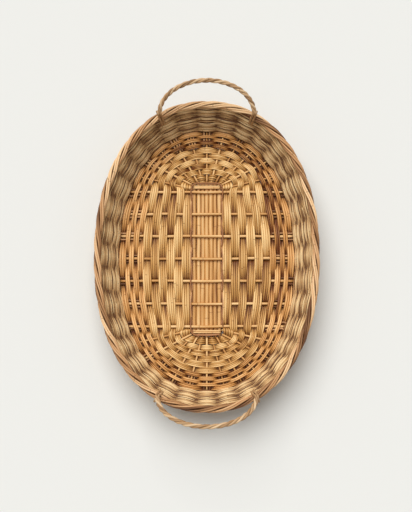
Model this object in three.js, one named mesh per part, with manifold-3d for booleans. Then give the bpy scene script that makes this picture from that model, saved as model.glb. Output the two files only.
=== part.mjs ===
// A wicker tray: an oval basket tray with a stick-and-strip base, a stake-and-strand wall,
// a rolled border and two twisted handles. Millimetres, +Z up, +Y along the tray,
// origin on the table under the tray's middle.
import * as THREE from "three";
import Module from "manifold-3d";

// Outline of the base, at the line where the wall starts
const baseHalfWidth = 130;
const baseHalfLength = 194;
const outlineSquareness = 2.2;
const clearance = 0.3;

// Heights and lean of the wall
const baseHeight = 9;
const borderHeight = 60;
const wallSpread = 25.5;

// Sticks of the base
const crossStickCount = 7;
const crossStickPitch = 33.5;
const crossStickRadius = 2.1;
const longStickCount = 7;
const longStickGap = 1.4;
const longStickRadius = 2.4;
const spokeRadius = 1.6;
const cornerSpokeGap = 1.8;
const endBarRadius = 2.4;
const endBarOverhang = 0.4;
const bindingRadius = 1.1;
const endBarGap = 3;
const sideWeaveInset = 5;
const rampShare = 0.12;
const stickSetback = 1.1;

// Strips woven round the sticks
const wideStripCount = 6;
const wideStripFirstShare = 0.133;
const wideStripPitchShare = 0.1;
const wideStripThickness = 0.8;
const narrowStripCount = 5;
const narrowStripFirstPitchShare = 0.066;
const narrowStripLastPitchShare = 0.0425;
const narrowStripThickness = 1;
const stripCover = 0.84;
const stripOverhang = 0.9;
const stripClearance = 0.5;

// Stakes of the wall, each a pair of thin rods that straddle a stick's end in the base
const spokesPerEnd = 11;
const stakeWidth = 5.4;
const stakeThickness = 2.7;
const stakeBend = 1.2;
const stakeInsertShare = 0.72;
const cornerStakeInsertShare = 0.8;
const stakeGap = 1.2;
const stakeJoinRise = 5.4;

// Weavers of the wall, each of four thin rods side by side
const courseCount = 9;
const weaverThickness = 2.4;
const courseGap = 0.5;

// Foot that the tray stands on
const footWidth = 7.5;
const footInset = 2;
const footRise = 6;
const footWallThickness = 3.6;
const footSteps = 48;

// Border rolled from the ends of the stakes
const borderRadius = 6;
const strokeThickness = 2.8;
const strokeHalfAngle = 33;

// Handles, each twisted from three rods
const handleStrandCount = 3;
const handleStrandRadius = 1.65;
const handleHeight = 50;
const handleLean = 57;
const handleTwists = 3;
const handleStepsPerTwist = 7;
const handleStakesFromMiddle = 2;
const handleRootGap = 0.6;
const handleRootRise = 13;
const handleTailDrop = 16;
const handleTailDegrees = [100, 64, 36];
const handleRodSides = 5;

const stickSides = 8;
const bindingSides = 5;
const up = new THREE.Vector3(0, 0, 1);

const wasm = await Module();
wasm.setup();

const tray = new THREE.Group();

const finish = (color, roughness) => new THREE.MeshStandardMaterial({ color, roughness, metalness: 0 });
const stickFinish = finish(0xd8a96b, 0.62);
const stripFinish = finish(0xcf9a5c, 0.6);
const narrowStripFinish = finish(0xb97c45, 0.62);
const bindingFinish = finish(0x94613a, 0.65);
const wallFinish = finish(0xc6a271, 0.66);
const borderFinish = finish(0xdcb383, 0.6);
const handleFinish = finish(0xd0b48a, 0.62);

function addPiece(name, geometry, material) {
  const mesh = new THREE.Mesh(geometry, material);
  mesh.name = name;
  tray.add(mesh);
}

// Six times the volume inside a closed geometry, negative when its faces point inwards.
function windingOf(geometry) {
  const position = geometry.getAttribute("position");
  const index = geometry.getIndex();
  const corners = [new THREE.Vector3(), new THREE.Vector3(), new THREE.Vector3()];
  let total = 0;
  for (let first = 0; first < index.count; first += 3) {
    corners.forEach((corner, i) => corner.fromBufferAttribute(position, index.getX(first + i)));
    total += corners[0].dot(corners[1].cross(corners[2]));
  }
  return total;
}

// A solid lofted through matching cross sections, capped at both ends or closed into a ring.
function loftedSolid(sections, isRing) {
  const sides = sections[0].length;
  const triangles = [];
  const spans = isRing ? sections.length : sections.length - 1;
  for (let span = 0; span < spans; span++) {
    const here = span * sides;
    const there = ((span + 1) % sections.length) * sides;
    for (let side = 0; side < sides; side++) {
      const next = (side + 1) % sides;
      triangles.push(here + side, here + next, there + next);
      triangles.push(here + side, there + next, there + side);
    }
  }
  if (!isRing) {
    const last = (sections.length - 1) * sides;
    for (let side = 1; side < sides - 1; side++) {
      triangles.push(0, side + 1, side);
      triangles.push(last, last + side, last + side + 1);
    }
  }
  const positions = sections.flat().flatMap((corner) => corner.toArray());
  const geometry = new THREE.BufferGeometry();
  geometry.setAttribute("position", new THREE.Float32BufferAttribute(positions, 3));
  geometry.setIndex(triangles);
  if (windingOf(geometry) < 0) geometry.setIndex(triangles.reverse());
  return geometry;
}

// A round rod through the given points. Its first cross section is turned by the reference
// direction, and each later one follows the one before it without twisting.
function rod(points, radii, sides, reference, isRing = false) {
  const count = points.length;
  let above = reference.clone();
  const sections = points.map((point, i) => {
    const ahead = isRing ? points[(i + 1) % count] : points[Math.min(i + 1, count - 1)];
    const behind = isRing ? points[(i + count - 1) % count] : points[Math.max(i - 1, 0)];
    const tangent = ahead.clone().sub(behind).normalize();
    const beside = new THREE.Vector3().crossVectors(tangent, isRing ? reference : above).normalize();
    above = new THREE.Vector3().crossVectors(beside, tangent);
    const radius = Array.isArray(radii) ? radii[i] : radii;
    return Array.from({ length: sides }, (_, side) => {
      const angle = ((side + 0.5) * 2 * Math.PI) / sides;
      return point
        .clone()
        .addScaledVector(beside, radius * Math.cos(angle))
        .addScaledVector(above, radius * Math.sin(angle));
    });
  });
  return loftedSolid(sections, isRing);
}

function manifoldOf(geometry) {
  const vertProperties = new Float32Array(geometry.getAttribute("position").array);
  const triVerts = new Uint32Array(geometry.getIndex().array);
  return new wasm.Manifold(new wasm.Mesh({ numProp: 3, vertProperties, triVerts }));
}

function geometryOf(solid) {
  const mesh = solid.getMesh();
  const geometry = new THREE.BufferGeometry();
  geometry.setAttribute("position", new THREE.BufferAttribute(mesh.vertProperties, 3));
  geometry.setIndex(new THREE.BufferAttribute(mesh.triVerts, 1));
  return geometry;
}

// The outline, walked by its length anticlockwise from the middle of the right side
const outlineSamples = 1440;
const outlinePoints = [];
const outlineLengths = [0];
for (let i = 0; i <= outlineSamples; i++) {
  const angle = (i * 2 * Math.PI) / outlineSamples;
  const across = Math.abs(Math.cos(angle) / baseHalfWidth) ** outlineSquareness;
  const along = Math.abs(Math.sin(angle) / baseHalfLength) ** outlineSquareness;
  const reach = (across + along) ** (-1 / outlineSquareness);
  outlinePoints.push(new THREE.Vector3(reach * Math.cos(angle), reach * Math.sin(angle), 0));
  if (i === 0) continue;
  outlineLengths.push(outlineLengths[i - 1] + outlinePoints[i].distanceTo(outlinePoints[i - 1]));
}
const outlineLength = outlineLengths[outlineSamples];

function outlineAt(length) {
  const wrapped = ((length % outlineLength) + outlineLength) % outlineLength;
  const after = Math.max(1, outlineLengths.findIndex((each) => each >= wrapped));
  const before = after - 1;
  const share = (wrapped - outlineLengths[before]) / (outlineLengths[after] - outlineLengths[before]);
  return outlinePoints[before].clone().lerp(outlinePoints[after], share);
}

// The base edge at a length along the outline, with its directions along the edge and outwards
const edgeStep = 0.5;
function edgeAt(length) {
  const along = outlineAt(length + edgeStep).sub(outlineAt(length - edgeStep)).normalize();
  const outward = new THREE.Vector3().crossVectors(along, up);
  return { point: outlineAt(length).setZ(baseHeight), along, outward };
}

// The outline's length at a height across the tray, on its right side
function lengthAtY(y) {
  const quarter = outlineSamples / 4;
  const after = outlinePoints.findIndex((point, i) => i <= quarter && point.y >= y);
  const before = after - 1;
  const share = (y - outlinePoints[before].y) / (outlinePoints[after].y - outlinePoints[before].y);
  return THREE.MathUtils.lerp(outlineLengths[before], outlineLengths[after], share);
}

// Ribs: the sticks' ends all round, anticlockwise from the middle cross stick's right end.
// Side ribs are the two ends of the cross sticks, and end ribs are the spokes of the long sticks.
const crossHalfCount = (crossStickCount - 1) / 2;
const ribsPerHalf = crossStickCount + spokesPerEnd;
const ribCount = 2 * ribsPerHalf;
const longStickPitch = 2 * longStickRadius + longStickGap;
const coreHalfWidth = (longStickPitch * (longStickCount - 1)) / 2 + longStickRadius;
const lastCrossY = crossHalfCount * crossStickPitch;
const endBarY = lastCrossY + crossStickRadius + endBarGap + endBarRadius;
const fanY = endBarY + endBarRadius + 2 * bindingRadius + clearance;
const sideWeaveStart = coreHalfWidth - sideWeaveInset;
const longStickDrop = crossStickRadius + clearance + longStickRadius;
const lastSideLength = lengthAtY(lastCrossY);
const spokeSpacing = (outlineLength / 2 - 2 * lastSideLength) / (spokesPerEnd + 1);

function ribEdgeLength(rib) {
  const half = Math.floor(rib / ribsPerHalf);
  const place = rib - half * ribsPerHalf;
  const start = (half * outlineLength) / 2;
  if (place <= crossHalfCount) return start + (place === 0 ? 0 : lengthAtY(place * crossStickPitch));
  const spoke = place - crossHalfCount;
  if (spoke <= spokesPerEnd) return start + lastSideLength + spoke * spokeSpacing;
  const left = ribsPerHalf - place;
  return start + outlineLength / 2 - lengthAtY(left * crossStickPitch);
}

// Where a rib starts, before the half turn that repeats the first half's ribs
function ribStart(place) {
  if (place <= crossHalfCount) return new THREE.Vector3(sideWeaveStart, place * crossStickPitch, 0);
  if (place > crossHalfCount + spokesPerEnd) {
    return new THREE.Vector3(-sideWeaveStart, (ribsPerHalf - place) * crossStickPitch, 0);
  }
  const fromMiddle = crossHalfCount + (spokesPerEnd + 1) / 2 - place;
  const longStickHalfCount = (longStickCount - 1) / 2;
  const beyond = Math.abs(fromMiddle) - longStickHalfCount;
  const x = fromMiddle * longStickPitch;
  if (beyond <= 0) return new THREE.Vector3(x, fanY, 0);
  const extraSpokes = (spokesPerEnd - longStickCount) / 2;
  const cornerX = coreHalfWidth + 2 * bindingRadius + 2 * clearance + spokeRadius / 2;
  const cornerY = lastCrossY + crossStickRadius + cornerSpokeGap + spokeRadius;
  const share = (beyond - 1) / Math.max(1, extraSpokes - 1);
  const y = THREE.MathUtils.lerp(fanY, cornerY, share);
  return new THREE.Vector3(Math.sign(fromMiddle) * cornerX, y, 0);
}

const ribs = Array.from({ length: ribCount }, (_, number) => {
  const half = Math.floor(number / ribsPerHalf);
  const place = number % ribsPerHalf;
  const start = ribStart(place);
  if (half === 1) start.applyAxisAngle(up, Math.PI);
  const edgeLength = ribEdgeLength(number);
  const edge = edgeAt(edgeLength);
  const end = edge.point.clone().setZ(0);
  const isSpoke = place > crossHalfCount && place <= crossHalfCount + spokesPerEnd;
  const fromMiddle = crossHalfCount + (spokesPerEnd + 1) / 2 - place;
  const isLongStick = isSpoke && Math.abs(fromMiddle) <= (longStickCount - 1) / 2;
  const beside = end.clone().sub(start).applyAxisAngle(up, Math.PI / 2).normalize();
  const along = edge.along.clone().divideScalar(edge.along.dot(beside));
  const radius = isSpoke ? spokeRadius : crossStickRadius;
  return { number, start, end, beside, along, edgeLength, isSpoke, isLongStick, fromMiddle, half, radius };
});

const ribOf = (number) => ribs[((number % ribCount) + ribCount) % ribCount];

// A point on a rib, by the share of the way from the core to the base edge.
// The long sticks lie under the cross sticks, and climb to the others' level as they fan out.
function ribPoint(rib, share) {
  const point = rib.start.clone().lerp(rib.end, share);
  const climb = THREE.MathUtils.clamp(share / rampShare, 0, 1);
  point.z = baseHeight - (rib.isLongStick ? longStickDrop * (1 - climb) : 0);
  return point;
}

const ribEndShare = (rib) => 1 - stickSetback / rib.start.distanceTo(rib.end);

// Cross sticks
for (let i = 0; i < crossStickCount; i++) {
  const place = i - crossHalfCount;
  const right = ribOf(place);
  const left = ribOf(ribsPerHalf - place);
  const points = [ribPoint(right, ribEndShare(right)), ribPoint(left, ribEndShare(left))];
  addPiece(`cross_stick_${i + 1}`, rod(points, crossStickRadius, stickSides, up), stickFinish);
}

// Long sticks, side by side under the cross sticks, each fanned out at both ends
const middleSpoke = crossHalfCount + (spokesPerEnd + 1) / 2;
for (let i = 0; i < longStickCount; i++) {
  const fromMiddle = i - (longStickCount - 1) / 2;
  const north = ribOf(middleSpoke - fromMiddle);
  const south = ribOf(middleSpoke + ribsPerHalf + fromMiddle);
  const shares = [0, rampShare, 1];
  const northPoints = shares.map((share) => ribPoint(north, share === 1 ? ribEndShare(north) : share));
  const southPoints = shares.map((share) => ribPoint(south, share === 1 ? ribEndShare(south) : share));
  const points = [...southPoints.reverse(), ...northPoints];
  const radii = [spokeRadius, spokeRadius, longStickRadius, longStickRadius, spokeRadius, spokeRadius];
  addPiece(`long_stick_${i + 1}`, rod(points, radii, stickSides, up), stickFinish);
}

// Extra spokes at the corners of the fan
for (const rib of ribs.filter((each) => each.isSpoke && !each.isLongStick)) {
  const end = rib.half === 0 ? "north" : "south";
  const spoke = (rib.number % ribsPerHalf) - crossHalfCount;
  const points = [ribPoint(rib, 0), ribPoint(rib, ribEndShare(rib))];
  addPiece(`${end}_spoke_${spoke}`, rod(points, spokeRadius, stickSides, up), stickFinish);
}

// End bars across the long sticks, and the thin rod that binds the core together
const coreTop = baseHeight - longStickDrop + longStickRadius + clearance;
for (const [name, side] of [["north_end_bar", 1], ["south_end_bar", -1]]) {
  const halfLength = coreHalfWidth - longStickRadius + endBarOverhang;
  const z = coreTop + endBarRadius;
  const points = [-halfLength, halfLength].map((x) => new THREE.Vector3(x, side * endBarY, z));
  addPiece(name, rod(points, endBarRadius, stickSides, up), stickFinish);
}

const bindingX = coreHalfWidth + clearance + bindingRadius;
const bindingHigh = baseHeight + crossStickRadius + clearance + bindingRadius;
const bindingEndY = endBarY + endBarRadius + clearance + bindingRadius;
const bindingEndZ = coreTop + bindingRadius;
const bindingHalf = [];
for (let i = -crossHalfCount; i <= crossHalfCount; i++) {
  bindingHalf.push(new THREE.Vector3(bindingX, i * crossStickPitch, bindingHigh));
  if (i === crossHalfCount) continue;
  bindingHalf.push(new THREE.Vector3(bindingX, (i + 0.5) * crossStickPitch, bindingEndZ));
}
for (const side of [1, -1]) {
  const turn = [
    new THREE.Vector3(side * bindingX, endBarY - endBarRadius, (bindingHigh + bindingEndZ) / 2),
    new THREE.Vector3(side * (bindingX - bindingRadius), bindingEndY - bindingRadius, bindingEndZ),
    new THREE.Vector3((side * bindingX) / 2, bindingEndY, bindingEndZ),
  ];
  bindingHalf.push(...(side === 1 ? turn : turn.reverse()));
}
const bindingOtherHalf = bindingHalf.map((point) => point.clone().applyAxisAngle(up, Math.PI));
const bindingLoop = [...bindingHalf, ...bindingOtherHalf];
addPiece("core_binding", rod(bindingLoop, bindingRadius, bindingSides, up, true), bindingFinish);

// The four corners of a strip's cross section at a rib, moved sideways along the strip,
// which runs in line with the base edge. The sideways distance is measured square to the rib.
function stripSection(rib, share, halfWidth, thickness, lift, sideways) {
  return [
    [-halfWidth, -thickness / 2],
    [halfWidth, -thickness / 2],
    [halfWidth, thickness / 2],
    [-halfWidth, thickness / 2],
  ].map(([across, rise]) => {
    const point = ribPoint(rib, share + across).addScaledVector(rib.along, sideways);
    point.z += lift + rise;
    return point;
  });
}

// Wide strips, each over one rib and under the next like a ridged roof.
// The slope between ribs lifts the strip clear of the round stick beside its ridge.
const isOver = (ring, rib) => (ring + rib.number) % 2 === 0;
const wideStripHalfWidth = (wideStripPitchShare * stripCover) / 2;
for (let ring = 0; ring < wideStripCount; ring++) {
  const share = wideStripFirstShare + ring * wideStripPitchShare;
  const sections = ribs.map((rib) => {
    const flatLiftOf = (each) => each.radius + stripClearance + wideStripThickness / 2;
    const inner = ribPoint(rib, share - wideStripHalfWidth);
    const slopes = [rib.number - 1, rib.number + 1].map((number) => {
      const neighbour = ribOf(number);
      const span = inner.distanceTo(ribPoint(neighbour, share - wideStripHalfWidth));
      return (flatLiftOf(rib) + flatLiftOf(neighbour)) / span;
    });
    const ridge = flatLiftOf(rib) / Math.sqrt(1 - Math.max(...slopes) ** 2);
    const lift = isOver(ring, rib) ? ridge : -ridge;
    return stripSection(rib, share, wideStripHalfWidth, wideStripThickness, lift, 0);
  });
  addPiece(`wide_strip_${ring + 1}`, loftedSolid(sections, true), stripFinish);
}

// Narrow strips from there to the edge, each narrower than the one before,
// flat over each stick and the two stake rods that straddle it
const stakeRodWidth = stakeWidth / 2;
const straddleOf = (rib) => rib.radius + stakeGap + stakeRodWidth / 2;
let narrowStripInnerShare = wideStripFirstShare + (wideStripCount - 0.5) * wideStripPitchShare;
for (let ring = 0; ring < narrowStripCount; ring++) {
  const outwards = ring / (narrowStripCount - 1);
  const pitch = THREE.MathUtils.lerp(narrowStripFirstPitchShare, narrowStripLastPitchShare, outwards);
  const share = narrowStripInnerShare + pitch / 2;
  const halfWidth = (pitch * stripCover) / 2;
  const sections = ribs.flatMap((rib) => {
    const flatLift = rib.radius + stripClearance + narrowStripThickness / 2;
    const lift = isOver(wideStripCount + ring, rib) ? flatLift : -flatLift;
    const flatHalf = straddleOf(rib) + stakeRodWidth / 2 + stripOverhang;
    return [-flatHalf, flatHalf].map((sideways) =>
      stripSection(rib, share, halfWidth, narrowStripThickness, lift, sideways),
    );
  });
  addPiece(`narrow_strip_${ring + 1}`, loftedSolid(sections, true), narrowStripFinish);
  narrowStripInnerShare += pitch;
}

// The wall leans outwards: slant is the distance up the wall, and depth is outwards from its middle.
const wallAngle = Math.atan2(wallSpread, borderHeight - baseHeight);
const wallSlant = Math.hypot(wallSpread, borderHeight - baseHeight);
function wallPoint(edge, slant, depth) {
  return edge.point
    .clone()
    .addScaledVector(edge.outward, slant * Math.sin(wallAngle) + depth * Math.cos(wallAngle))
    .addScaledVector(up, slant * Math.cos(wallAngle) - depth * Math.sin(wallAngle));
}

// Foot: the ring of rods wound round the base edge, cut flat underneath where the tray stands
const footFace = stakeThickness / 2 + 2 * clearance;
const footSections = Array.from({ length: footSteps }, (_, step) => {
  const edge = edgeAt((step * outlineLength) / footSteps);
  const levelPoint = (outwards, z) => edge.point.clone().addScaledVector(edge.outward, outwards).setZ(z);
  const ledge = baseHeight - crossStickRadius - clearance;
  return [
    levelPoint(-footInset, 0),
    levelPoint(footWidth - footInset, 0),
    wallPoint(edge, stakeBend, footFace + footWallThickness),
    wallPoint(edge, footRise, footFace + footWallThickness),
    wallPoint(edge, footRise, footFace),
    wallPoint(edge, stakeBend, footFace),
    levelPoint(-stakeBend + clearance, ledge),
    levelPoint(-footInset, ledge),
  ];
});
addPiece("foot_wale", loftedSolid(footSections, true), wallFinish);

// Weavers: two chase each other up the wall, each inside the stakes that the other passes outside.
// A weaver stands off its stake far enough to clear the stake's corners as it slants to the next.
const stakeEdges = ribs.map((rib) => edgeAt(rib.edgeLength));
const firstSlant = footRise + clearance;
const coursePitch = (wallSlant - borderRadius - clearance - firstSlant) / courseCount;
const slantAllowance = 3;
function weaverDepth(stake, side) {
  const edge = stakeEdges[stake];
  const before = stakeEdges[(stake + ribCount - 1) % ribCount].point;
  const after = stakeEdges[(stake + 1) % ribCount].point;
  const spacing = before.distanceTo(after) / 2;
  const bulge = edge.point.clone().sub(before.clone().lerp(after, 0.5)).dot(edge.outward);
  const flatDepth = (stakeThickness + weaverThickness) / 2 + clearance;
  const slope = (slantAllowance * flatDepth + side * bulge) / spacing;
  return side * (flatDepth + (Math.max(0, slope) * stakeWidth) / 2);
}
for (const [name, outsideParity] of [["wall_weaver_a", 0], ["wall_weaver_b", 1]]) {
  const firstStake = outsideParity * ribsPerHalf;
  const steps = (courseCount / 2 - 0.5) * ribCount;
  const sections = Array.from({ length: steps + 1 }, (_, step) => {
    const stake = (firstStake + step) % ribCount;
    const side = stake % 2 === outsideParity ? 1 : -1;
    const depth = weaverDepth(stake, side);
    const slant = firstSlant + coursePitch * (0.5 + (2 * step) / ribCount);
    const rise = (coursePitch - courseGap) / 2;
    return [
      [-rise, -weaverThickness / 2],
      [rise, -weaverThickness / 2],
      [rise, weaverThickness / 2],
      [-rise, weaverThickness / 2],
    ].map(([upwards, outwards]) => wallPoint(stakeEdges[stake], slant + upwards, depth + outwards));
  });
  addPiece(name, loftedSolid(sections, false), wallFinish);
}

// A point of the border, by its angle round the border's middle line: 0 is outside and 90 is on top
function borderPoint(length, radius, degrees) {
  const edge = edgeAt(length);
  const angle = THREE.MathUtils.degToRad(degrees);
  return edge.point
    .clone()
    .addScaledVector(edge.outward, wallSpread + radius * Math.cos(angle))
    .setZ(borderHeight + radius * Math.sin(angle));
}

// Each stake is two rods pushed in on both sides of a stick's end. They turn up at the edge, join
// into one flat stake behind the foot, and are bent down into the border together: they run along
// the inside past the next stake, over the top, and down the outside.
const strokePath = [
  { stakes: 0.25, degrees: 200, sunk: 2.4 },
  { stakes: 1.1, degrees: 150, sunk: 0.7 },
  { stakes: 1.7, degrees: 98, sunk: 0 },
  { stakes: 2.3, degrees: 44, sunk: 0 },
  { stakes: 3, degrees: -20, sunk: 0.7 },
];
function stakeSolid(rib) {
  const edge = stakeEdges[rib.number];
  const level = edge.point.clone().addScaledVector(edge.outward, -stakeBend);
  const corners = [[-1, 1], [1, 1], [1, -1], [-1, -1]];
  const levelSection = (point) =>
    corners.map(([across, inwards]) =>
      point
        .clone()
        .addScaledVector(edge.along, (across * stakeRodWidth) / 2)
        .addScaledVector(up, (inwards * stakeThickness) / 2),
    );
  const wallSection = (slant, aside, width) =>
    corners.map(([across, inwards]) => {
      const middle = wallPoint(edge, slant, (-inwards * stakeThickness) / 2);
      return middle.addScaledVector(edge.along, aside + (across * width) / 2);
    });
  const straddle = straddleOf(rib);
  const isCorner = rib.isSpoke && !rib.isLongStick;
  const insertShare = isCorner ? cornerStakeInsertShare : stakeInsertShare;
  const legs = [-1, 1].map((side) => {
    const start = ribPoint(rib, insertShare).addScaledVector(rib.along, side * straddle);
    const sections = [
      levelSection(start),
      levelSection(level.clone().addScaledVector(edge.along, side * straddle)),
      wallSection(stakeJoinRise, (side * stakeRodWidth) / 2, stakeRodWidth),
    ];
    return manifoldOf(loftedSolid(sections, false));
  });
  const strokeSection = ({ stakes, degrees, sunk }) => {
    const passed = Math.floor(stakes);
    const last = ribOf(rib.number - passed).edgeLength;
    const next = ribOf(rib.number - passed - 1).edgeLength;
    const gap = (last - next + outlineLength) % outlineLength;
    const there = last - (stakes - passed) * gap;
    return corners.map(([across, inwards]) => {
      const depth = inwards > 0 ? sunk : sunk + strokeThickness;
      return borderPoint(there, borderRadius - depth, degrees - across * strokeHalfAngle);
    });
  };
  const sections = [
    wallSection(stakeJoinRise - clearance, 0, stakeWidth),
    wallSection(wallSlant - borderRadius + 2 * clearance, 0, stakeWidth),
    ...strokePath.map(strokeSection),
  ];
  return legs.reduce((joined, leg) => joined.add(leg), manifoldOf(loftedSolid(sections, false)));
}
const stakesAndBorder = ribs.map(stakeSolid).reduce((joined, stake) => joined.add(stake));
addPiece("stakes_and_border", geometryOf(stakesAndBorder), borderFinish);

// Handles: three rods twisted into an arch that leans outwards. At each root the rods part, straddle
// the border beside a stake, and run down the wall: the first outside and the other two inside.
const handleStakeShift = stakeWidth / 2 + handleStrandRadius + handleRootGap;
const handleTwistRadius = (2 * handleStrandRadius + clearance) / Math.sqrt(handleStrandCount);
function handleStrand(middle, strand) {
  const roots = [-1, 1].map((away) => {
    const length = ribOf(middle + away * handleStakesFromMiddle).edgeLength + away * handleStakeShift;
    return { length, away, top: borderPoint(length, handleRootRise, 90) };
  });
  const centre = roots[0].top.clone().lerp(roots[1].top, 0.5);
  const halfSpan = roots[0].top.clone().sub(centre);
  const outwards = Math.sign(centre.y);
  const lean = THREE.MathUtils.degToRad(handleLean);
  const rise = new THREE.Vector3(0, outwards * Math.sin(lean), Math.cos(lean));
  const outerFace = new THREE.Vector3(0, outwards * Math.cos(lean), -Math.sin(lean));
  const phase = (2 * Math.PI * strand) / handleStrandCount;
  const face = strand === 0 ? 1 : -1;
  const straddle = borderRadius + clearance + handleStrandRadius;
  const tail = ({ length, away }) => {
    const there = length + away * Math.sign(Math.sin(phase)) * (handleStrandRadius + clearance);
    return [
      wallPoint(edgeAt(there), wallSlant - handleTailDrop, face * straddle),
      ...handleTailDegrees.map((fromTop) => borderPoint(there, straddle, 90 - face * fromTop)),
    ];
  };
  const steps = handleTwists * handleStepsPerTwist;
  const arch = Array.from({ length: steps + 1 }, (_, step) => {
    const turn = (Math.PI * step) / steps;
    const twist = phase + (2 * Math.PI * handleTwists * step) / steps;
    const spanwards = halfSpan.clone().normalize();
    const inPlane = spanwards.multiplyScalar(Math.cos(turn)).addScaledVector(rise, Math.sin(turn));
    return centre
      .clone()
      .addScaledVector(halfSpan, Math.cos(turn))
      .addScaledVector(rise, handleHeight * Math.sin(turn))
      .addScaledVector(outerFace, handleTwistRadius * Math.cos(twist))
      .addScaledVector(inPlane, handleTwistRadius * Math.sin(twist));
  });
  const points = [...tail(roots[0]), ...arch, ...tail(roots[1]).reverse()];
  return rod(points, handleStrandRadius, handleRodSides, outerFace);
}
for (const [end, middle] of [["north", middleSpoke], ["south", middleSpoke + ribsPerHalf]]) {
  for (let strand = 0; strand < handleStrandCount; strand++) {
    addPiece(`${end}_handle_strand_${strand + 1}`, handleStrand(middle, strand), handleFinish);
  }
}

export default tray;
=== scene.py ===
import math
import random
from collections import namedtuple

import bmesh
import bpy
import numpy as np
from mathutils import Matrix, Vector


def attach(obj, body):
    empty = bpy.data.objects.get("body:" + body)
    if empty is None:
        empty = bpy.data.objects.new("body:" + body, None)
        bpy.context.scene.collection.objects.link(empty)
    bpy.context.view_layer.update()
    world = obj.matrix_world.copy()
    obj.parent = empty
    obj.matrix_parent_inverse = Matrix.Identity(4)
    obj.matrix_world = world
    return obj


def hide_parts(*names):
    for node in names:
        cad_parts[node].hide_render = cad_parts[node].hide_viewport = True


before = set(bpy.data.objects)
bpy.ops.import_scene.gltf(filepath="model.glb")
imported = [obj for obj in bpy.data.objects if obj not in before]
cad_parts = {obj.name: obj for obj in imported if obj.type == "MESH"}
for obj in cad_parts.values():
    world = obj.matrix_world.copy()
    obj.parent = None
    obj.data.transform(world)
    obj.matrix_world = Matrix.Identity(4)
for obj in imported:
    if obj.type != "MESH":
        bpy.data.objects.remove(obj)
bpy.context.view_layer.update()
chance = random.Random(23)

# Cross sticks: seven sticks of peeled willow, each about 4 mm thick, which lie across the oval base.
# The rest of the base is woven round them, and their cut ends stop just inside the line where the
# wall starts.
base_half_width = 0.130
base_half_length = 0.194
base_height = 0.009
outline_squareness = 2.2
outline_steps = 1440
cross_stick_count = 7
cross_stick_pitch = 0.0335
cross_stick_radius = 0.0021
cross_stick_knot_count = 9
cross_stick_sway = 0.0006
cross_stick_tones = (0, 0.5)
cross_half_count = (cross_stick_count - 1) // 2
stick_setback = 0.0011
stick_steps = 5
rod_unevenness = 0.06
cut_end_share = 0.8
grain_spread = 9
upwards = Vector((0, 0, 1))

outline_angles = np.linspace(0, 2 * math.pi, outline_steps + 1)
outline_reach = (
    np.abs(np.cos(outline_angles) / base_half_width) ** outline_squareness
    + np.abs(np.sin(outline_angles) / base_half_length) ** outline_squareness
) ** (-1 / outline_squareness)
outline_x = outline_reach * np.cos(outline_angles)
outline_y = outline_reach * np.sin(outline_angles)
outline_walk = np.concatenate([[0], np.cumsum(np.hypot(np.diff(outline_x), np.diff(outline_y)))])
outline_length = outline_walk[-1]
quarter = outline_steps // 4


def outline_at(length):
    """A point on the line where the wall starts, by its distance round the outline."""
    wrapped = length % outline_length
    x = np.interp(wrapped, outline_walk, outline_x)
    y = np.interp(wrapped, outline_walk, outline_y)
    return Vector((x, y, base_height))


def length_at_y(y):
    """The distance round the outline at which its right side reaches y."""
    return float(np.interp(y, outline_y[: quarter + 1], outline_walk[: quarter + 1]))


def smooth_path(knots, steps):
    """Points of a smooth curve through the knots, with that many steps from knot to knot."""
    padded = [2 * knots[0] - knots[1], *knots, 2 * knots[-1] - knots[-2]]
    points = []
    for before, start, end, after in zip(padded, padded[1:], padded[2:], padded[3:]):
        for step in range(steps):
            t = step / steps
            slope = (end - before) * t
            bend = (2 * before - 5 * start + 4 * end - after) * t**2
            twist = (3 * start - before - 3 * end + after) * t**3
            points.append(0.5 * (2 * start + slope + bend + twist))
    return [*points, knots[-1].copy()]


def along_path(values, steps):
    """Values given at the knots of a smooth path, worked out for each of its points."""
    places = np.arange((len(values) - 1) * steps + 1) / steps
    return np.interp(places, np.arange(len(values)), values)


def wander(count, spread, reach=7):
    """Slowly changing random numbers, for the unevenness of a rod that has grown."""
    stops = np.arange(-reach, count + 2 * reach, reach)
    values = [chance.uniform(-spread, spread) for _ in stops]
    return np.interp(np.arange(count), stops, values)


def new_form():
    """An empty form whose corners carry the rod's own grain and its tone, from 0 pale to 1 brown."""
    form = bmesh.new()
    form.verts.layers.float_vector.new("grain")
    form.verts.layers.float.new("tone")
    return form


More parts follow.
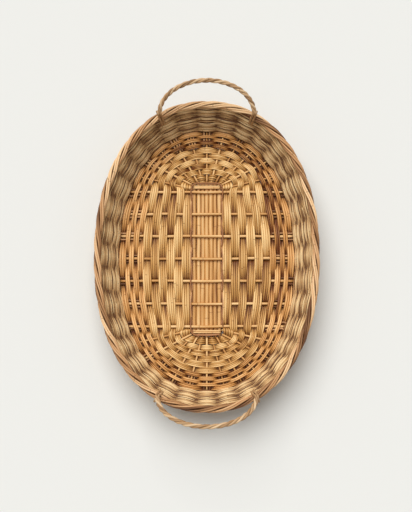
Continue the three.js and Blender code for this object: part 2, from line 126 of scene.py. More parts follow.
def grow_rod(
    form, points, half_width, half_thickness, tone, upward, stays_level=False, sides=8, painted_edge_shade=(0.4, 0)
):
    """Cuts a cylinder into rings and bends it from point to point into one rod, round or flat.

    The last argument says how much browner its two sides are, and its top and underside: painted shade where
    rods lie close to their neighbours.
    """
    grain_layer = form.verts.layers.float_vector["grain"]
    tone_layer = form.verts.layers.float["tone"]
    count = len(points)
    length = count - 1
    cylinder = bmesh.ops.create_cone(
        form, cap_ends=True, segments=sides, radius1=1, radius2=1, depth=length
    )
    lengthwise = [
        edge
        for corner in cylinder["verts"]
        if corner.co.z < 0
        for edge in corner.link_edges
        if edge.other_vert(corner).co.z > 0
    ]
    cut = bmesh.ops.subdivide_edges(form, edges=lengthwise, cuts=count - 2, use_grid_fill=True)
    rings = [part for part in cut["geom_inner"] if isinstance(part, bmesh.types.BMVert)]
    corners = {corner for part in rings for edge in part.link_edges for corner in edge.verts}

    swell = 1 + wander(count, rod_unevenness)
    swell[0] *= cut_end_share
    swell[-1] *= cut_end_share
    half_widths = np.broadcast_to(half_width, count) * swell
    half_thicknesses = np.broadcast_to(half_thickness, count) * swell
    tones = np.broadcast_to(tone, count)
    own_grain = Vector([chance.uniform(0, grain_spread) for _ in range(3)])
    above = upward
    walked = [0.0]
    directions = []
    for i, point in enumerate(points):
        if i > 0:
            walked.append(walked[-1] + (point - points[i - 1]).length)
        tangent = (points[min(i + 1, length)] - points[max(i - 1, 0)]).normalized()
        beside = tangent.cross(upward if stays_level else above).normalized()
        above = beside.cross(tangent)
        directions.append((beside, above))

    for corner in corners:
        i = round(corner.co.z + length / 2)
        # Painted shade: browner towards the sides, and towards the top and underside.
        browner = painted_edge_shade[0] * corner.co.x**2 + painted_edge_shade[1] * corner.co.y**2
        across = corner.co.x * half_widths[i]
        rise = corner.co.y * half_thicknesses[i]
        beside, above = directions[i]
        corner.co = points[i] + beside * across + above * rise
        corner[grain_layer] = own_grain + Vector((across, rise, walked[i]))
        corner[tone_layer] = tones[i] + browner


def linear(red, green, blue):
    """A colour as the eye names it, from 0 to 255, as the light that the shader needs."""
    light = []
    for value in (red, green, blue):
        share = value / 255
        light.append(share / 12.92 if share <= 0.04045 else ((share + 0.055) / 1.055) ** 2.4)
    return [*light, 1]


def willow_group():
    """The look of peeled willow: fibres along the rod, slow stains and the dark rings of old buds."""
    fibre_scale = (1500, 1500, 26)
    stain_scale = (260, 260, 17)
    buds_per_metre = 11
    bud_ring_width = 0.012
    bud_ring_depth = 0.55
    least_roughness = 0.38
    fibre_roughness = 0.3
    group = bpy.data.node_groups.new("peeled_willow", "ShaderNodeTree")
    for name in ("Pale", "Golden", "Brown"):
        group.interface.new_socket(name, in_out="INPUT", socket_type="NodeSocketColor")
    for name in ("Fibre Depth", "Stain Depth"):
        group.interface.new_socket(name, in_out="INPUT", socket_type="NodeSocketFloat")
    group.interface.new_socket("Color", in_out="OUTPUT", socket_type="NodeSocketColor")
    group.interface.new_socket("Roughness", in_out="OUTPUT", socket_type="NodeSocketFloat")
    group.interface.new_socket("Height", in_out="OUTPUT", socket_type="NodeSocketFloat")
    nodes = group.nodes
    link = group.links.new
    given = nodes.new("NodeGroupInput")
    result = nodes.new("NodeGroupOutput")
    grain = nodes.new("ShaderNodeAttribute")
    grain.attribute_name = "grain"
    tone = nodes.new("ShaderNodeAttribute")
    tone.attribute_name = "tone"

    def noise(scale, detail):
        stretch = nodes.new("ShaderNodeMapping")
        stretch.inputs["Scale"].default_value = scale
        texture = nodes.new("ShaderNodeTexNoise")
        texture.inputs["Scale"].default_value = 1
        texture.inputs["Detail"].default_value = detail
        link(grain.outputs["Vector"], stretch.inputs["Vector"])
        link(stretch.outputs["Vector"], texture.inputs["Vector"])
        return texture.outputs["Fac"]

    def combine(first, operation, second, clamp=False):
        node = nodes.new("ShaderNodeMath")
        node.operation = operation
        node.use_clamp = clamp
        for socket, value in zip(node.inputs, (first, second)):
            if isinstance(value, (int, float)):
                socket.default_value = value
            else:
                link(value, socket)
        return node.outputs["Value"]

    def blend(share, first, second):
        node = nodes.new("ShaderNodeMix")
        node.data_type = "RGBA"
        link(share, node.inputs["Factor"])
        link(first, node.inputs["A"])
        link(second, node.inputs["B"])
        return node.outputs["Result"]

    fibres = noise(fibre_scale, 3)
    stains = noise(stain_scale, 2)
    fibre_shift = combine(combine(fibres, "SUBTRACT", 0.5), "MULTIPLY", given.outputs["Fibre Depth"])
    stain_shift = combine(combine(stains, "SUBTRACT", 0.5), "MULTIPLY", given.outputs["Stain Depth"])
    shade = combine(combine(tone.outputs["Fac"], "ADD", fibre_shift), "ADD", stain_shift)
    to_golden = combine(shade, "MULTIPLY", 2, clamp=True)
    to_brown = combine(combine(shade, "MULTIPLY", 2), "SUBTRACT", 1, clamp=True)
    pale_to_golden = blend(to_golden, given.outputs["Pale"], given.outputs["Golden"])
    wood = blend(to_brown, pale_to_golden, given.outputs["Brown"])

    apart = nodes.new("ShaderNodeSeparateXYZ")
    link(grain.outputs["Vector"], apart.inputs["Vector"])
    buds = nodes.new("ShaderNodeTexVoronoi")
    buds.voronoi_dimensions = "1D"
    buds.inputs["Scale"].default_value = 1
    link(combine(apart.outputs["Z"], "MULTIPLY", buds_per_metre), buds.inputs["W"])
    ring = nodes.new("ShaderNodeMapRange")
    ring.inputs["From Max"].default_value = bud_ring_width
    ring.inputs["To Min"].default_value = bud_ring_depth
    ring.inputs["To Max"].default_value = 0
    link(buds.outputs["Distance"], ring.inputs["Value"])
    roughness = combine(combine(fibres, "MULTIPLY", fibre_roughness), "ADD", least_roughness)
    link(blend(ring.outputs["Result"], wood, given.outputs["Brown"]), result.inputs["Color"])
    link(roughness, result.inputs["Roughness"])
    link(combine(fibres, "ADD", ring.outputs["Result"]), result.inputs["Height"])
    return group


peeled_willow = willow_group()


def willow(name, pale, golden, brown, fibre_depth=0.5, stain_depth=0.7):
    """A willow finish from its three colours, with a soft shine and fine grooves along the rods."""
    material = bpy.data.materials.new(name)
    material.use_nodes = True
    nodes = material.node_tree.nodes
    link = material.node_tree.links.new
    surface = nodes["Principled BSDF"]
    surface.inputs["Specular IOR Level"].default_value = 0.4
    wood = nodes.new("ShaderNodeGroup")
    wood.node_tree = peeled_willow
    for socket, value in (("Pale", pale), ("Golden", golden), ("Brown", brown)):
        wood.inputs[socket].default_value = linear(*value)
    wood.inputs["Fibre Depth"].default_value = fibre_depth
    wood.inputs["Stain Depth"].default_value = stain_depth
    grooves = nodes.new("ShaderNodeBump")
    grooves.inputs["Strength"].default_value = 0.5
    grooves.inputs["Distance"].default_value = 0.0003
    link(wood.outputs["Height"], grooves.inputs["Height"])
    link(grooves.outputs["Normal"], surface.inputs["Normal"])
    link(wood.outputs["Color"], surface.inputs["Base Color"])
    link(wood.outputs["Roughness"], surface.inputs["Roughness"])
    return material


def add_piece(name, form, material, node):
    """Makes a form a piece of the tray, smooth but for its cut ends, in place of the CAD node named."""
    bmesh.ops.recalc_face_normals(form, faces=form.faces[:])
    for face in form.faces:
        face.smooth = len(face.verts) == 4
    mesh = bpy.data.meshes.new(name)
    form.to_mesh(mesh)
    form.free()
    mesh.materials.append(material)
    piece = bpy.data.objects.new(name, mesh)
    bpy.context.scene.collection.objects.link(piece)
    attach(piece, "root")
    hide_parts(node)


stick_willow = willow("stick_willow", (246, 204, 144), (212, 156, 88), (126, 72, 24), 0.5, 1.0)
for i in range(cross_stick_count):
    y = (i - cross_half_count) * cross_stick_pitch
    reach = outline_at(length_at_y(abs(y))).x - stick_setback
    knots = [Vector((x, y, base_height)) for x in np.linspace(reach, -reach, cross_stick_knot_count)]
    for knot in knots[1:-1]:
        knot.y += chance.uniform(-cross_stick_sway, cross_stick_sway)
    tones = along_path([chance.uniform(*cross_stick_tones) for _ in knots], stick_steps)
    form = new_form()
    points = smooth_path(knots, stick_steps)
    grow_rod(form, points, cross_stick_radius, cross_stick_radius, tones, upwards, sides=12)
    add_piece(f"peeled_cross_stick_{i + 1}", form, stick_willow, f"cross_stick_{i + 1}")

# Long sticks: seven more peeled sticks, side by side down the middle under the cross sticks. At both
# ends they are pared thinner, bent up and fanned out as spokes. Spokes and cross stick ends are the
# ribs of the weave, counted anticlockwise from the right end of the middle cross stick.
long_stick_count = 7
long_stick_pitch = 0.0062
long_stick_radius = 0.0024
long_stick_drop = 0.0048
long_stick_sway = 0.0004
long_stick_tones = (0, 0.6)
# Painted shade: the long sticks' sides are browner, where they lie close side by side.
long_stick_side_shade = (0.65, 0)
core_stick_half_width = 0.0035
core_knot_count = 9
spokes_per_end = 11
spoke_radius = 0.0016
spoke_slope_share = 0.12
fan_start_y = 0.1129
fan_shares = (0.05, spoke_slope_share, 0.5)
paring_start_y = 0.107
paring_length = 0.012
corner_spoke_start = (0.0245, 0.1060)
side_weave_start = 0.016
long_half_count = (long_stick_count - 1) // 2
ribs_per_half = cross_stick_count + spokes_per_end
rib_count = 2 * ribs_per_half
middle_spoke = cross_half_count + (spokes_per_end + 1) // 2
last_side_length = length_at_y(cross_half_count * cross_stick_pitch)
spoke_spacing = (outline_length / 2 - 2 * last_side_length) / (spokes_per_end + 1)
Edge = namedtuple("Edge", "point along outward")
Rib = namedtuple("Rib", "number start end along edge_length radius is_long_stick")


def edge_at(length):
    """The outline at a distance round it, with the directions along it and outwards."""
    step = 0.0005
    along = (outline_at(length + step) - outline_at(length - step)).normalized()
    return Edge(outline_at(length), along, along.cross(upwards))


def rib_edge_length(number):
    """The distance round the outline at which a rib meets it."""
    half, place = divmod(number, ribs_per_half)
    start = half * outline_length / 2
    if place <= cross_half_count:
        return start + length_at_y(place * cross_stick_pitch)
    if place <= cross_half_count + spokes_per_end:
        return start + last_side_length + (place - cross_half_count) * spoke_spacing
    return start + outline_length / 2 - length_at_y((ribs_per_half - place) * cross_stick_pitch)


def rib_start(place):
    """Where a rib of the first half starts, at the core of the base."""
    if place <= cross_half_count:
        return Vector((side_weave_start, place * cross_stick_pitch, 0))
    if place > cross_half_count + spokes_per_end:
        return Vector((-side_weave_start, (ribs_per_half - place) * cross_stick_pitch, 0))
    from_middle = middle_spoke - place
    beyond = abs(from_middle) - long_half_count
    if beyond <= 0:
        return Vector((from_middle * long_stick_pitch, fan_start_y, 0))
    corner_x, corner_y = corner_spoke_start
    return Vector((math.copysign(corner_x, from_middle), fan_start_y if beyond == 1 else corner_y, 0))


def new_rib(number):
    """A rib by its number. Its sideways direction runs in line with the base edge."""
    half, place = divmod(number, ribs_per_half)
    start = rib_start(place) * (1 if half == 0 else -1)
    edge_length = rib_edge_length(number)
    edge = edge_at(edge_length)
    end = Vector((edge.point.x, edge.point.y, 0))
    beside = upwards.cross((end - start).normalized())
    along = edge.along / edge.along.dot(beside)
    is_spoke = cross_half_count < place <= cross_half_count + spokes_per_end
    is_long_stick = is_spoke and abs(middle_spoke - place) <= long_half_count
    radius = spoke_radius if is_spoke else cross_stick_radius
    return Rib(number, start, end, along, edge_length, radius, is_long_stick)


def rib_point(rib, share, lift=0.0, sideways=0.0):
    """A point of a rib by the share of the way along it, lifted and moved sideways."""
    point = rib.start.lerp(rib.end, share) + rib.along * sideways
    point.z = base_height + lift
    if rib.is_long_stick:
        climb = min(max(share / spoke_slope_share, 0), 1)
        point.z -= long_stick_drop * (1 - climb)
    return point


def rib_tip(rib):
    """The cut end of a stick, just inside the wall."""
    return rib_point(rib, 1 - stick_setback / (rib.end - rib.start).length)


ribs = [new_rib(number) for number in range(rib_count)]
for i in range(long_stick_count):
    from_middle = i - long_half_count
    north = ribs[middle_spoke - from_middle]
    south = ribs[middle_spoke + ribs_per_half + from_middle]
    north_fan = [rib_point(north, share) for share in fan_shares] + [rib_tip(north)]
    south_fan = [rib_tip(south)] + [rib_point(south, share) for share in reversed(fan_shares)]
    core_start = rib_point(south, 0)
    core_end = rib_point(north, 0)
    core = [core_start.lerp(core_end, share) for share in np.linspace(0, 1, core_knot_count)]
    for knot in core[1:-1]:
        knot.x += chance.uniform(-long_stick_sway, long_stick_sway)
    points = smooth_path([*south_fan, *core, *north_fan], stick_steps)
    pared = [min(max((abs(point.y) - paring_start_y) / paring_length, 0), 1) for point in points]
    half_widths = np.interp(pared, (0, 1), (core_stick_half_width, spoke_radius))
    half_thicknesses = np.interp(pared, (0, 1), (long_stick_radius, spoke_radius))
    first_tone, last_tone = [chance.uniform(*long_stick_tones) for _ in range(2)]
    tones = np.linspace(first_tone, last_tone, len(points))
    form = new_form()
    grow_rod(
        form, points, half_widths, half_thicknesses, tones, upwards, sides=12, painted_edge_shade=long_stick_side_shade
    )
    add_piece(f"peeled_long_stick_{i + 1}", form, stick_willow, f"long_stick_{i + 1}")

# Corner spokes: four extra thin sticks of peeled willow at each end, pushed in beside the long ones to
# fill the corners of the fan. They start at the corners of the middle bundle.
corner_spoke_numbers = (1, 2, 10, 11)
corner_spoke_shares = (-0.035, 0.35, 0.7)
corner_spoke_tones = (0.15, 0.5)
for end, half in (("north", 0), ("south", 1)):
    for spoke in corner_spoke_numbers:
        rib = ribs[half * ribs_per_half + cross_half_count + spoke]
        knots = [rib_point(rib, share) for share in corner_spoke_shares] + [rib_tip(rib)]
        points = smooth_path(knots, stick_steps)
        form = new_form()
        tone = chance.uniform(*corner_spoke_tones)
        grow_rod(form, points, spoke_radius, spoke_radius, tone, upwards)
        add_piece(f"peeled_{end}_spoke_{spoke}", form, stick_willow, f"{end}_spoke_{spoke}")

# End bars: a short pair of peeled rods laid across each end of the long sticks, beside the last cross
# stick, which stops the binding from slipping off.
end_bar_y = 0.108
end_bar_half_length = 0.0200
end_bar_radius = 0.00125
end_bar_gap = 0.0008
end_bar_sway = 0.0005
end_bar_tone = 0.08
end_bar_knot_count = 5
end_bar_steps = 4
core_top = base_height - long_stick_drop + long_stick_radius
for end, side in (("north", 1), ("south", -1)):
    form = new_form()
    for across in (-1, 1):
        y = side * (end_bar_y + across * end_bar_radius)
        z = core_top + end_bar_radius + end_bar_gap
        places = np.linspace(-end_bar_half_length, end_bar_half_length, end_bar_knot_count)
        knots = [Vector((x, y, z)) for x in places]
        for knot in knots:
            knot.z += chance.uniform(0, end_bar_sway)
        points = smooth_path(knots, end_bar_steps)
        grow_rod(form, points, end_bar_radius, end_bar_radius, end_bar_tone, upwards, sides=10)
    add_piece(f"{end}_end_bar_rods", form, stick_willow, f"{end}_end_bar")

# Core binding: two thin brown willow rods, twined round the cross sticks down both sides of the
# middle. Where one passes over a stick the other passes under it, and they cross before the next
# stick. At both ends they bow round the end bar.
binding_radius = 0.00105
binding_x = 0.0223
binding_sway = 0.0014
binding_lift = cross_stick_radius + binding_radius
binding_bow_places = (0.0195, 0.0075, -0.0075, -0.0195)
binding_bow_y = 0.1117
binding_bow_lifts = (0.0012, 0.0030)
binding_bow_depths = (0.0007, 0.0021)
binding_bow_curve = 70
binding_tones = (0.2, 0.45)
binding_steps = 6
binding_willow = willow("binding_willow", (220, 168, 118), (166, 110, 66), (96, 52, 22))
form = new_form()
for rod in (0, 1):
    knots = []
    for turn in (1, -1):
        for i in range(-cross_half_count, cross_half_count + 1):
            side = 1 if (i + rod) % 2 == 0 else -1
            x = turn * (binding_x + binding_sway * side)
            y = turn * i * cross_stick_pitch
            knots.append(Vector((x, y, base_height + binding_lift * side)))
        for x in binding_bow_places:
            bow = binding_bow_depths[rod] * math.cos(x * binding_bow_curve)
            y = turn * (binding_bow_y + bow)
            knots.append(Vector((turn * x, y, base_height + binding_bow_lifts[rod])))
    points = smooth_path(knots, binding_steps)
    grow_rod(form, points, binding_radius, binding_radius, binding_tones[rod], upwards)
add_piece("twined_core_binding", form, binding_willow, "core_binding")

# Wide strips: six rounds of split willow, four flat rods side by side, which pass over one rib and
# under the next. They spread over a rib, and are pinched under it, with painted shade there. One rod
# ends and the next starts under a rib, so the colour changes there. The first round is pulled in tight.
wide_strip_count = 6
wide_strip_first_share = 0.133
wide_strip_pitch_share = 0.1
wide_strip_sway = 0.004
over_spreads = (1.1, 1.2)
under_spreads = (0.92, 1.04)
wide_rod_reach = (2, 5)
split_rods_per_strip = 4
split_rod_half_thickness = 0.0006
split_rod_play = (0.0001, 0.0004)
split_rod_tones = (0.0, 0.1, 0.18, 0.28, 0.42)
split_rod_steps = 5
cross_stick_pull = 0.011
cross_stick_widening = 1.1
long_stick_pull = 0.03
long_stick_widening = 1.3
corner_spoke_pull = 0.05
corner_spoke_widening = 1.75
tone_spread = 0.2
# Painted shade where a strip passes under a rib.
under_rib_shade = 0.7
split_willow = willow("split_willow", (248, 206, 142), (206, 152, 82), (114, 62, 16), 0.7, 1.1)


def is_corner_spoke(rib):
    """Whether a rib is one of the extra spokes beside the long sticks."""
    return rib.radius == spoke_radius and not rib.is_long_stick


def is_over(weave_round, rib):
    """Whether a round passes over a rib. The rounds are counted from the core outwards."""
    return (weave_round + rib.number) % 2 == 0


def first_round_fit(rib):
    """How far the first round is pulled in along a rib, as a share of it, and its widening there."""
    if is_corner_spoke(rib):
        return corner_spoke_pull, corner_spoke_widening
    if rib.is_long_stick:
        return long_stick_pull, long_stick_widening
    return cross_stick_pull, cross_stick_widening


def rod_lengths(weave_round, shortest, longest):
    """Splits a round into rods, each from one rib that it passes under to another."""
    first = (weave_round + 1) % 2
    stops = [first]
    while stops[-1] < first + rib_count:
        reach = 2 * chance.randint(shortest, longest)
        stops.append(min(stops[-1] + reach, first + rib_count))
    return list(zip(stops, stops[1:]))


def grow_strip_rod(form, knots, half_widths, half_thickness, tone, under, steps):
    """Grows one flat rod of a strip, with painted shade where it passes under a rib."""
    tones = tone + under_rib_shade * along_path(under, steps) ** 2
    widths = along_path(half_widths, steps)
    points = smooth_path(knots, steps)
    grow_rod(form, points, widths, half_thickness, tones, upwards, stays_level=True)


for ring in range(wide_strip_count):
    middle_share = wide_strip_first_share + ring * wide_strip_pitch_share
    shares = [middle_share + chance.uniform(-wide_strip_sway, wide_strip_sway) for _ in ribs]
    spreads = []
    for rib in ribs:
        spread = chance.uniform(*(over_spreads if is_over(ring, rib) else under_spreads))
        spreads.append(spread * wide_strip_pitch_share)
    if ring == 0:
        for rib in ribs:
            pull, widening = first_round_fit(rib)
            shares[rib.number] -= pull
            spreads[rib.number] *= widening
    lengths = rod_lengths(ring, *wide_rod_reach)
    tones = [chance.choice(split_rod_tones) for _ in lengths]
    form = new_form()
    for strand in range(split_rods_per_strip):
        aside = (strand - (split_rods_per_strip - 1) / 2) / split_rods_per_strip
        for (start, end), tone in zip(lengths, tones):
            own_tone = tone + chance.uniform(-tone_spread, tone_spread)
            knots = []
            half_widths = []
            under = []
            for number in range(start, end + 1):
                rib = ribs[number % rib_count]
                spread = spreads[rib.number]
                side = 1 if is_over(ring, rib) else -1
                lift = rib.radius + split_rod_half_thickness + chance.uniform(*split_rod_play)
                knots.append(rib_point(rib, shares[rib.number] + aside * spread, side * lift))
                half_widths.append(spread * (rib.end - rib.start).length / split_rods_per_strip / 2)
                under.append(0 if side > 0 else 1)
            grow_strip_rod(
                form, knots, half_widths, split_rod_half_thickness, own_tone, under, split_rod_steps
            )
    add_piece(f"split_strip_{ring + 1}", form, split_willow, f"wide_strip_{ring + 1}")

# Narrow strips: five rounds of thinner and redder willow rods, two or three side by side. They pass
# over and under each stick together with its stake, whose two rods straddle it. The first four rounds
# get narrower outwards, and the last fills the rest of the base up to the wall.
stake_rod_radius = 0.0013
stake_gap = 0.0012
narrow_rods_per_strip = (3, 3, 2, 2, 3)
narrow_strip_count = len(narrow_rods_per_strip)
narrow_strip_first_pitch_share = 0.066
narrow_strip_last_pitch_share = 0.0425
narrow_strips_end_share = 0.985
narrow_strip_sway = 0.0015
narrow_over_spread = 1.22
narrow_under_spread = 1.12
narrow_rod_reach = (3, 6)
narrow_rod_half_thickness = 0.0008
narrow_rod_play = (0.0001, 0.0003)
narrow_rod_tones = (-0.05, 0.1, 0.2, 0.35, 0.6)
narrow_rod_steps = 4
narrow_overhang = 0.0009
red_willow = willow("red_willow", (244, 192, 126), (206, 146, 78), (112, 58, 16), 0.7, 1.1)


def straddle_of(rib):
    """How far each rod of a stake lies to the side of its stick's middle."""
    return rib.radius + stake_gap + stake_rod_radius


inner_share = wide_strip_first_share + (wide_strip_count - 0.5) * wide_strip_pitch_share
for ring in range(narrow_strip_count):
    weave_round = wide_strip_count + ring
    outwards = ring / (narrow_strip_count - 1)
    pitch_share = narrow_strip_first_pitch_share * (1 - outwards) + narrow_strip_last_pitch_share * outwards
    if ring == narrow_strip_count - 1:
        pitch_share = narrow_strips_end_share - inner_share
    middle_share = inner_share + pitch_share / 2
    rods = narrow_rods_per_strip[ring]
    lengths = rod_lengths(weave_round, *narrow_rod_reach)
    tones = [chance.choice(narrow_rod_tones) for _ in lengths]
    form = new_form()
    for strand in range(rods):
        aside = (strand - (rods - 1) / 2) / rods
        for (start, end), tone in zip(lengths, tones):
            own_tone = tone + chance.uniform(-tone_spread, tone_spread)
            knots = []
            half_widths = []
            under = []
            for number in range(start, end + 1):
                rib = ribs[number % rib_count]
                side = 1 if is_over(weave_round, rib) else -1
                spread = pitch_share * (narrow_over_spread if side > 0 else narrow_under_spread)
                share = middle_share + aside * spread + chance.uniform(-narrow_strip_sway, narrow_strip_sway)
                lift = rib.radius + narrow_rod_half_thickness + chance.uniform(*narrow_rod_play)
                half_flat = straddle_of(rib) + stake_rod_radius + narrow_overhang
                for sideways in (-half_flat, half_flat):
                    knots.append(rib_point(rib, share, side * lift, sideways))
                    half_widths.append(spread * (rib.end - rib.start).length / rods / 2)
                    under.append(0 if side > 0 else 1)
            grow_strip_rod(
                form, knots, half_widths, narrow_rod_half_thickness, own_tone, under, narrow_rod_steps
            )
    inner_share += pitch_share
    add_piece(f"thin_rod_strip_{ring + 1}", form, red_willow, f"narrow_strip_{ring + 1}")

# Foot: three willow rods wound into a rope round the edge of the base, on which the tray stands, a
# finer rope above it, and three rods woven round the stakes where the wall turns up, in front of two
# and behind one.
wall_spread = 0.0255
border_height = 0.060
border_radius = 0.006
wall_angle = math.atan2(wall_spread, border_height - base_height)
wall_slant = math.hypot(wall_spread, border_height - base_height)
# Each rope's height, its distance outside the base edge and the radius of its rods.
foot_ropes = ((0.00345, 0.00175, 0.00165), (0.0083, 0.0042, 0.0011))
rope_strands = 3
rope_turns = rib_count // 3
rope_steps_per_turn = 12
rope_steps = rope_turns * rope_steps_per_turn
turns_between_joins = 4
rope_tones = (0, 0.4)
wale_strands = 3
wale_radius = 0.00095
wale_slant = 0.0031
wale_gap = 0.0001
wale_depth = stake_rod_radius + wale_radius + wale_gap
wale_stake_places = ((-wale_depth, 0), (wale_depth, wale_radius), (wale_depth, -wale_radius))
wale_span_places = ((0, wale_radius), (wale_depth, 0), (0, -wale_radius))
wale_steps = 3
wale_tones = (0.1, 0.4)
foot_willow = willow("foot_willow", (206, 160, 108), (160, 110, 64), (96, 54, 24))
stake_edges = [edge_at(rib.edge_length) for rib in ribs]


def span_edge(rib):
    """The outline halfway between a rib and the next."""
    following = ribs[(rib.number + 1) % rib_count].edge_length
    return edge_at(rib.edge_length + ((following - rib.edge_length) % outline_length) / 2)


def wall_point(edge, slant, depth):
    """A point of the wall, by the distance up its slope and the depth outwards from its middle."""
    outwards = slant * math.sin(wall_angle) + depth * math.cos(wall_angle)
    rise = slant * math.cos(wall_angle) - depth * math.sin(wall_angle)
    return edge.point + edge.outward * outwards + upwards * rise


span_edges = [span_edge(rib) for rib in ribs]
form = new_form()
for height, distance_out, radius in foot_ropes:
    for strand in range(rope_strands):
        # Each rod is joined half a turn past the rope's outer side, so the joins face inwards.
        turns_to_join = turns_between_joins * strand + 0.5 - strand / rope_strands
        points = []
        for step in np.arange(rope_steps + 1) + turns_to_join * rope_steps_per_turn:
            turn = 2 * math.pi * (step / rope_steps_per_turn + strand / rope_strands)
            edge = edge_at(step * outline_length / rope_steps)
            point = edge.point + edge.outward * (distance_out + radius * math.cos(turn))
            point.z = height + radius * math.sin(turn)
            points.append(point)
        grow_rod(form, points, radius, radius, chance.uniform(*rope_tones), upwards)
for strand in range(wale_strands):
    knots = []
    for number in range(rib_count + 1):
        for edges, places in ((stake_edges, wale_stake_places), (span_edges, wale_span_places)):
            depth, rise = places[(number + strand) % wale_strands]
            knots.append(wall_point(edges[number % rib_count], wale_slant + rise, depth))
    points = smooth_path(knots[:-1], wale_steps)
    grow_rod(form, points, wale_radius, wale_radius, chance.uniform(*wale_tones), upwards)
add_piece("wound_foot_rods", form, foot_willow, "foot_wale")

# Wall weavers: two pairs of thin straw-coloured willow rods, which chase each other up the wall. One
# pair passes outside the even stakes and inside the odd ones, and the other does the opposite. They
# cross between two stakes and lie close on each other there, so the wall is nearly closed.
course_count = 20
weaver_rod_radius = 0.00094
weaver_spread = 0.00092
weaver_sway = 0.0002
weaver_depth = stake_rod_radius + weaver_rod_radius
first_slant = 0.0050
top_course_drop = 0.0018
last_slant = wall_slant - top_course_drop
course_pitch = (last_slant - first_slant) / course_count
crossing_depth = 0.0007
# Painted shade where the weavers cross between two stakes.
crossing_shade = 0.55
weaver_reach = (7, 13)
shortest_weaver = 6
weaver_tones = (-0.45, -0.25, -0.05, 0.2, 0.65)
weaver_tone_spread = 0.06
# Painted shade: the weavers' tops and undersides are browner, where the courses lie close on each other.
weaver_edge_shade = (0, 0.5)
weaver_path_steps = 3
wall_willow = willow("wall_willow", (247, 215, 161), (203, 159, 104), (100, 60, 24), 0.6, 1.2)


def course_slant(step):
    """The height up the slope of the wall that a weaver has reached after so many stakes."""
    return first_slant + course_pitch * (2 * step / rib_count - 0.5)


for name, outside_parity in (("a", 0), ("b", 1)):
    first_stake = outside_parity * ribs_per_half
    steps = (course_count // 2) * rib_count + rib_count // 2
    form = new_form()
    for strand in (-1, 1):
        stop = 0
        while stop < steps:
            start = stop
            stop = min(stop + 2 * chance.randint(*weaver_reach), steps)
            if steps - stop < shortest_weaver:
                stop = steps
            own_tone = chance.choice(weaver_tones) + chance.uniform(-weaver_tone_spread, weaver_tone_spread)
            knots = []
            tones = []
            for step in range(start, stop + 1):
                stake = (first_stake + step) % rib_count
                side = 1 if stake % 2 == outside_parity else -1
                aside = strand * weaver_spread + chance.uniform(-weaver_sway, weaver_sway)
                knots.append(wall_point(stake_edges[stake], course_slant(step) + aside, side * weaver_depth))
                crossing_slant = course_slant(step + 0.5) + strand * course_pitch / 4
                knots.append(wall_point(span_edges[stake], crossing_slant, strand * crossing_depth))
                # Painted shade at each crossing between the stakes.
                tones += [own_tone, own_tone + crossing_shade]
            points = smooth_path(knots[:-1], weaver_path_steps)
            tones = along_path(tones[:-1], weaver_path_steps)
            grow_rod(form, points, weaver_rod_radius, weaver_rod_radius, tones, upwards, painted_edge_shade=weaver_edge_shade)
    add_piece(f"paired_wall_weaver_{name}", form, wall_willow, f"wall_weaver_{name}")

# Stakes and border: each stake is two thin willow rods, pushed in on both sides of a stick's end and
# bent up the wall. At the top they are bent down into the border, behind the next stake, over the top
# and down the outside, round three rods that lie inside.
stake_insert_share = 0.72
corner_stake_insert_share = 0.8
stake_edge_share = 0.96
stake_run_in = 0.0048
stake_bend = 0.0012
stake_closing_share = 0.2
stake_join_rise = 0.0054
stake_rods_apart = 1.04
stake_wall_shares = (0.25, 0.5, 0.75, 1)
stake_tones = (-0.1, 0.05, 0.25, 0.45, 0.75)
stake_tone_spread = 0.15
inserted_tone = 0.6
# Painted shade: each stroke gets browner as it turns down from the top of the border, inside and outside.
stroke_lower_shade = 0.3
stake_steps = 4
border_rod_radius = 0.00135
border_rod_half_angle = 18.3
# The stakes passed, the angle round the border and the distance from its middle line.
stroke_path = (
    (0.15, 205, 0.0018),
    (0.60, 190, 0.0020),
    (1.00, 162, 0.0033),
    (1.40, 128, 0.00455),
    (1.90, 80, 0.00455),
    (2.40, 34, 0.00455),
    (2.80, -3, 0.0043),
    (3.15, -36, 0.0038),
)
border_core_radius = 0.00145
border_core_distance = 0.0017
border_core_angles = (0, 120, 240)
# Painted shade: the core rods inside the border get the darkest brown, so the gaps between the strokes read
# dark.
border_core_shade = 1.2
border_core_steps = 4 * rib_count
border_willow = willow("border_willow", (248, 208, 158), (206, 155, 104), (104, 62, 26), 0.5, 0.9)


def border_point(length, radius, degrees):
    """A point of the border, by its angle round the border's middle line: 0 is outside, 90 on top."""
    edge = edge_at(length)
    angle = math.radians(degrees)
    point = edge.point + edge.outward * (wall_spread + radius * math.cos(angle))
    point.z = border_height + radius * math.sin(angle)
    return point


def length_after_stakes(rib, stakes):
    """The distance round the outline at which a stroke has passed so many stakes, clockwise."""
    passed = int(stakes)
    last = ribs[(rib.number - passed) % rib_count].edge_length
    following = ribs[(rib.number - passed - 1) % rib_count].edge_length
    return last - (stakes - passed) * ((last - following) % outline_length)


